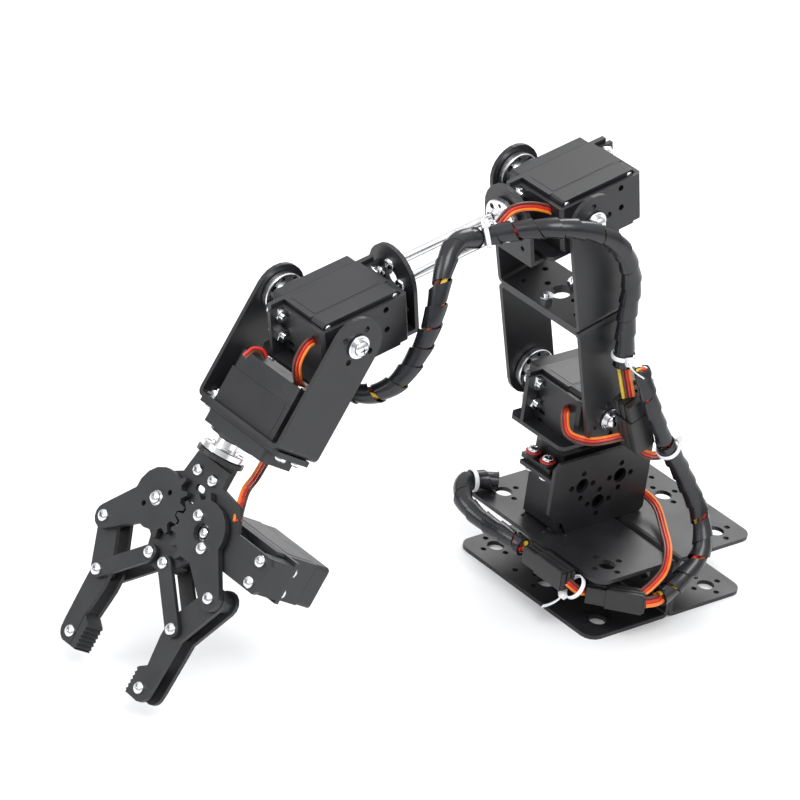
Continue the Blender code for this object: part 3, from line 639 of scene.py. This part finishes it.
# ------------------------------------------------------------------ CAD nodes that stay
KEPT = (
    ("beam", SHEET_BLACK, 0.35), ("_bracket", SHEET_BLACK, 0.35),
    ("gear_cover", COVER_BLACK, 0.5), ("back_cover", SERVO_BLACK, 0.45),
    ("servo_case", SERVO_BLACK, 0.35), ("servo_block", JAW_BLACK, 0.4),
    ("gear", JAW_BLACK, 0.3), ("palm", JAW_BLACK, 0.3), ("mount", SHEET_BLACK, 0.3),
    ("finger", JAW_BLACK, 0.35), ("link", JAW_BLACK, 0.35),
)
for node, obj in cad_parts.items():
    for key, material, width in KEPT:
        if key not in node:
            continue
        obj.data.materials.clear()
        obj.data.materials.append(material)
        soften = obj.modifiers.new("Soften", "BEVEL")
        soften.width = width * MM
        soften.segments = 2
        soften.limit_method = "ANGLE"
        soften.angle_limit = math.radians(38)
        soften.use_clamp_overlap = True
        soften.harden_normals = False
        break


# ------------------------------------------------------------------ fasteners
def pan_head():
    """Cross-recess pan head, seat at z = 0."""
    bm = bmesh.new()
    lathe(bm, [(0, -1.2), (1.4, -1.2), (1.45, 0.0), (2.75, 0.0), (2.8, 0.7), (2.55, 1.35),
               (2.0, 1.75), (1.1, 2.0), (0, 2.05)], Matrix.Identity(4), 24)
    cutter = bmesh.new()
    cross = [(0.3, 0.3), (1.45, 0.22), (1.45, -0.22), (0.3, -0.3), (0.22, -1.45),
             (-0.22, -1.45), (-0.3, -0.3), (-1.45, -0.22), (-1.45, 0.22), (-0.3, 0.3),
             (-0.22, 1.45), (0.22, 1.45)]
    slab(cutter, cross, 0.75, 3.0)
    return carve(bm, cutter)


def hex_nut():
    """Hexagon nut with the screw's end standing out of it, seat at z = 0."""
    bm = bmesh.new()
    slab(bm, ring_points(3.15, 6), 0.0, 2.1)
    slab(bm, ring_points(2.8, 12), 2.1, 2.4)
    lathe(bm, [(0, 1.5), (1.45, 1.5), (1.45, 3.2), (1.2, 3.5), (0, 3.5)],
          Matrix.Identity(4), 16)
    return bm


def washer(outer, inner, thick):
    bm = bmesh.new()
    e = 0.12
    lathe(bm, [(inner, 0.0), (outer - e, 0.0), (outer, e), (outer, thick - e),
               (outer - e, thick), (inner, thick), (inner, 0.0)], Matrix.Identity(4), 24)
    return bm


PAN = pan_head()
NUT = hex_nut()
THIN_WASHER = washer(3.4, 1.6, 0.5)
RED_WASHER = washer(3.7, 1.7, 0.7)
RUBBER_RING = washer(3.3, 1.8, 1.9)
KINDS = {"pan": (PAN, STEEL), "nut": (NUT, STEEL), "washer": (THIN_WASHER, STEEL),
         "red": (RED_WASHER, RED_FIBRE), "grommet": (RUBBER_RING, GROMMET)}
FITTED = {}            # (body, kind) -> list of matrices


def fit(body, kind, base, x, y, z, facing, turn=0.0):
    """Note a fastener at a local point of a frame, its head facing an axis."""
    m = base @ shift(x, y, z) @ FACING[facing] @ Matrix.Rotation(turn, 4, "Z")
    FITTED.setdefault((body, kind), []).append(m)


for name, (spot, body) in SERVOS.items():
    if name == "gripper":
        continue
    for end in (SERVO_MID - EAR_HOLE, SERVO_MID + EAR_HOLE):
        for y in (-5.0, 5.0):
            top = EAR_TOP
            if name == "waist":
                fit(body, "grommet", spot, end, y, top, "+z")
                fit(body, "red", spot, end, y, top + 1.9, "+z")
                top += 2.6
            fit(body, "pan", spot, end, y, top, "+z", end + y)
            fit(body, "nut", spot, end, y, LIP_LOW, "-z", y)

for base, body in ((UPPER, "upper_arm"), (UPPER_TOP, "upper_arm"), (HAND, "hand")):
    for x, z in ((8, 0), (-8, 0), (0, 8), (0, -8)):
        fit(body, "pan", base, x, -U_HALF, z, "-y", x + z)
for z in (-8.0, 8.0):
    fit("upper_arm", "pan", UPPER, U_REACH - 2.0, 0, z, "-x", z)
    fit("upper_arm", "nut", UPPER_TOP, U_REACH - 2.0, 0, z, "-x", z)

for y, z in ((7, 0), (-7, 0), (0, 7), (0, -7)):
    fit("forearm", "pan", FOREARM @ shift(90.0, 0, -2.0), 0, y, z, "+x", y + z)
    fit("forearm", "nut", FOREARM @ shift(88.0, 0, -2.0), 0, y, z, "-x", y + z)
for y, z in ((7, 0), (-7, 0), (0, 7), (0, -7)):
    fit("forearm", "nut", FOREARM @ shift(24.0, 0, 0), 0, y, z, "-x", y + z)
shoulder_spot = SERVOS["shoulder"][0]
for x in (7.0, -7.0):
    fit("turntable", "pan", shoulder_spot, SERVO_MID + x, -14.0, 10.0, "+y", x)

for side in (1, -1):
    gear = GRIP @ shift(GEAR[0], side * GEAR[1], 0)
    crank = (CRANK[0], side * CRANK[1])
    base_u, base_y = LINK[0], side * LINK[1]
    gear_body = "drive_gear" if side == 1 else "idler_gear"
    tag = "right" if side == 1 else "left"
    if side == 1:
        fit(gear_body, "pan", gear, 0, 0, HORN_FACE, "+z", 0.4)
    else:
        fit(gear_body, "washer", gear, 0, 0, GEAR_TOP, "+z")
        fit(gear_body, "pan", gear, 0, 0, GEAR_TOP + 0.5, "+z", 0.4)
    fit(gear_body, "pan", gear, *crank, GEAR_TOP, "+z", 1.0)
    fit("finger_" + tag, "nut", gear, *crank, FINGER_LOW, "-z", 0.3)
    fit("link_" + tag, "pan", gear, base_u + crank[0], base_y + crank[1], LINK_TOP, "+z", 0.7)
    fit("link_" + tag, "nut", gear, base_u + crank[0], base_y + crank[1], FINGER_LOW - 2.3,
        "-z", 0.7)
    fit("link_" + tag, "pan", gear, base_u, base_y, LINK_TOP, "+z", 0.2)
    fit("link_" + tag, "nut", gear, base_u, base_y, FINGER_LOW - 2.3, "-z", 0.2)
    fit("finger_" + tag, "pan", GRIP, 100.7, side * 25.6, FINGER_TOP, "+z", 0.5)
    fit("finger_" + tag, "nut", GRIP, 100.7, side * 25.6, FINGER_LOW, "-z", 0.5)
drive = GRIP @ shift(*GEAR, 0)
for a in (math.radians(45), math.radians(225)):
    fit("drive_gear", "pan", drive, 7.5 * math.cos(a), 7.5 * math.sin(a), GEAR_TOP, "+z", a)
fit("gripper", "nut", GRIP @ shift(GEAR[0], -GEAR[1], 0), 0, 0, 0, "-z")
for y in (-5.3, 5.3):
    fit("gripper", "pan", GRIP, 10.0, y, 2.0, "+z", y)
    fit("gripper", "nut", GRIP, 10.0, y, -2.2, "-z", y)
for u in (25.0, 35.0):
    for y in (1.4, 50.9):
        fit("gripper", "pan", GRIP, u, y, 2.0, "+z", u + y)
gripper_spot = SERVOS["gripper"][0]
for end in (SERVO_MID - EAR_HOLE, SERVO_MID + EAR_HOLE):
    for y in (-5.0, 5.0):
        fit("gripper", "pan", gripper_spot, end, y, EAR_LOW, "-z", y)

for (body, kind), spots in FITTED.items():
    template, material = KINDS[kind]
    bm = bmesh.new()
    for m in spots:
        stamp(bm, template, m)
    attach(bmesh_object(f"{kind}_fasteners_{body}", bm, [material]), body)


# ------------------------------------------------------------------ discs, pivots, rods
def servo_disc(name, base, low, high, body, node):
    """Turned disc: hub, chamfered flange, a raised centre inside a shallow ring groove, and four
    round windows with four smaller holes between them.
    """
    bm = bmesh.new()
    e = 0.35
    under = high - 3.1
    lathe(bm, [(0, low), (5.2 - e, low), (5.2, low + e), (5.2, under),
               (10.0 - e, under), (10.0, under + e), (10.0, high - e),
               (10.0 - e, high), (6.3, high), (5.9, high - 0.35), (3.6, high - 0.35),
               (3.4, high), (0, high)], base, 48)
    cutter = bmesh.new()
    for k in range(4):
        a = math.radians(45 + 90 * k)
        slab(cutter, ring_points(1.45, 14), high - 5, high + 2,
             base @ shift(7.6 * math.cos(a), 7.6 * math.sin(a), 0))
        a += math.radians(45)
        slab(cutter, ring_points(1.0, 10), high - 5, high + 2,
             base @ shift(7.9 * math.cos(a), 7.9 * math.sin(a), 0))
    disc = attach(bmesh_object(name, carve(bm, cutter), [DISC_SILVER]), body)
    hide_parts(node)


for name, low, high, body in (("waist", 37.6, 45.7, "turntable"),
                              ("shoulder", 37.6, 44.1, "upper_arm"),
                              ("elbow", 37.6, 44.1, "upper_arm"),
                              ("wrist", 37.6, 44.1, "hand"),
                              ("roll", 37.6, 44.6, "gripper"),
                              ("gripper", 37.6, 47.0, "drive_gear")):
    servo_disc(f"{name}_disc", SERVOS[name][0], low, high, body, f"{name}_horn")
servo_disc("forearm_round_disc", FOREARM @ Matrix.Rotation(math.radians(90), 4, "Y"),
           26.1, 30.0, "forearm", "forearm_disc")

for name, (x, z), degrees, body in (("shoulder", SHOULDER, 0.0, "turntable"),
                                    ("elbow", ELBOW, FOREARM_ANGLE, "forearm"),
                                    ("wrist", WRIST, FOREARM_ANGLE, "forearm")):
    axis = pitched(x, z, degrees) @ Matrix.Rotation(-math.pi / 2, 4, "X")
    bm = bmesh.new()
    lathe(bm, [(0, 20.9), (3.5, 20.9), (3.5, 28.3), (5.3, 28.3), (5.4, 28.6), (5.4, 29.2),
               (5.2, 29.4), (4.3, 29.4), (4.3, 30.0), (0, 30.0)], axis, 40)
    stamp(bm, PAN, axis @ shift(0, 0, 30.0) @ Matrix.Scale(1.25, 4))
    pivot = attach(bmesh_object(f"{name}_pivot_stack", bm, [STEEL]), body)
    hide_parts(f"{name}_pivot")

for tag, y in (("near", 6.5), ("far", -6.5)):
    base = FOREARM @ shift(0, y, -1) @ Matrix.Rotation(math.radians(90), 4, "Y")
    bm = bmesh.new()
    lathe(bm, [(0, 30.1), (1.7, 30.1), (2.0, 30.4), (2.0, 34.0), (1.85, 34.2), (1.85, 34.8),
               (2.0, 35.0), (2.0, 84.0), (1.85, 84.2), (1.85, 84.8), (2.0, 85.0),
               (2.0, 87.6), (1.7, 87.9), (0, 87.9)], base, 24)
    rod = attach(bmesh_object(f"round_rod_{tag}", bm, [ROD_SILVER]), "forearm")
    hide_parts(f"forearm_rod_{tag}")


# ------------------------------------------------------------------ servo details
for name, (spot, body) in SERVOS.items():
    bm = bmesh.new()
    for x in (SERVO_FRONT - 2.6, SERVO_BACK + 2.6):
        for y in (-7.4, 7.4):
            lathe(bm, [(0, -0.2), (1.55, -0.2), (1.6, 0.05), (1.35, 0.45), (0, 0.55)],
                  spot @ shift(x, y, 0) @ FACING["-z"], 16)
    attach(bmesh_object(f"{name}_case_screws", bm, [STEEL]), body)

    bm = bmesh.new()
    for face in (-1, 1):
        side = spot @ shift(SERVO_MID, face * SERVO_HALF_T, 17.6) @ FACING["+y"]
        low, high = (0.0, 0.12) if face > 0 else (-0.12, 0.0)
        slab(bm, rect(-17.5, 17.5, -8.2, 8.2, 1.2), low, high, side)
    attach(bmesh_object(f"{name}_label_panels", bm, [LABEL_BLACK]), body)


# ------------------------------------------------------------------ leads and plugs
def lead(name, points, body, spread=1.35, radius=0.68, colours=None, crossing=None):
    """Flat servo lead through world points, its broad side turned to the front left."""
    bm = bmesh.new()
    route = Route(points)
    steps = max(8, int(route.length / 2.5))
    colours = colours or [WIRE_ORANGE, WIRE_RED, WIRE_BROWN]
    for k in range(len(colours)):
        offset = spread * (k - (len(colours) - 1) / 2)
        line = []
        for j in range(steps + 1):
            centre, ahead, _, _ = route.at(route.length * j / steps)
            line.append(centre + offset * ahead.cross(FLAT_FACE).normalized())
        wire(bm, line, radius, k, 7)
    obj = bmesh_object(name, bm, colours)
    if crossing:
        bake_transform(obj)
    else:
        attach(obj, body)
    return obj


lead("elbow_lead", ((66.8, 3.3, 200), (71, 3, 202.5), (83, 4, 206.9), (94, 4.5, 207.5),
                    (99, 3, 201)), "forearm")
lead("shoulder_lead", ((38.7, 3.3, 96.5), (44.5, 6, 97), (46, 11, 89.5), (40, 16, 86.5),
                       (35.8, 22, 88.2), (24.5, 27, 91)), "turntable")
lead("wrist_lead", ((193, 3.3, 167), (199.7, 5, 166.5), (202.6, 4, 157.3), (197.9, 2, 145.6),
                    (190, 0, 139)), "forearm", crossing=("hand", (200, 5, 166), (198, 2, 146)))
lead("gripper_lead", ((228, 8, 90), (223, 3, 93), (216, -3, 96.5), (208, -7, 99),
                      (200, -9, 108)), "gripper", crossing=("hand", (218, 0, 95), (208, -7, 99)))
lead("waist_lead", ((-7, -4, 37), (-14, 0, 39.5), (-15.4, 13.1, 37.5), (-7.1, 29.3, 34.5),
                    (2, 42.6, 33.5), (11, 51, 30), (20, 54, 26.5), (27, 54.8, 24)), "base")
lead("plug_lead", ((19.8, 30, 87.5), (18, 32.5, 83), (13.5, 36.5, 82.5), (9.5, 39.5, 85.5)),
     "turntable")
lead("corner_lead", ((43.2, 37.3, 20), (48.8, 36.3, 22), (53.3, 33.5, 26)), "base")
lead("base_plug_lead", ((13, 54.8, 19.8), (19, 57.5, 19.8), (25.8, 56.6, 20)), "base", 1.7, 0.9)
lead("roll_lead", ((221.4, -8, 160), (218.5, -8.5, 161), (215, -10, 160.8), (210.8, -10, 159),
                   (208, -10.5, 155)), "hand", colours=[WIRE_RED, WIRE_BROWN])

shoulder_wires = lead("shoulder_wires", ((33.2, 26.2, 128), (32, 28, 121), (30.4, 29.8, 113.2)),
                      "upper_arm", 1.5, 0.8, [WIRE_ORANGE, WIRE_RED, WIRE_BROWN, WIRE_YELLOW],
                      ("turntable", (33.2, 26.2, 127), (31, 29.5, 116)))
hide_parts("wires_shoulder")

for name, centre, size, axis, turn, body in PLUGS:
    spot = shift(*centre) @ Matrix.Rotation(math.radians(turn), 4, axis)
    wide, tall = size[0], size[2]
    if size[0] > size[2]:
        spot = spot @ Matrix.Rotation(math.radians(90), 4, "Y")
        wide, tall = tall, wide
    thick = size[1] / 3 - 0.25
    bm = bmesh.new()
    for layer in (-1, 0, 1):
        y0 = layer * size[1] / 3 - thick / 2
        slab(bm, rect(-wide / 2, wide / 2, y0, y0 + thick, 0.5, 2), 1.0 - tall / 2,
             tall / 2 - 9.0, spot)
        neck = rect(0.8 - wide / 2, wide / 2 - 0.8, y0 + 0.3, y0 + thick - 0.3, 0.4, 2)
        slab(bm, neck, -tall / 2, 0.9 - tall / 2, spot)
        slab(bm, neck, tall / 2 - 8.9, tall / 2, spot)
    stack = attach(bmesh_object(f"plug_stack_{name}", bm, [PLUG_BLACK]), body)
    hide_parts(f"plug_block_{name}")
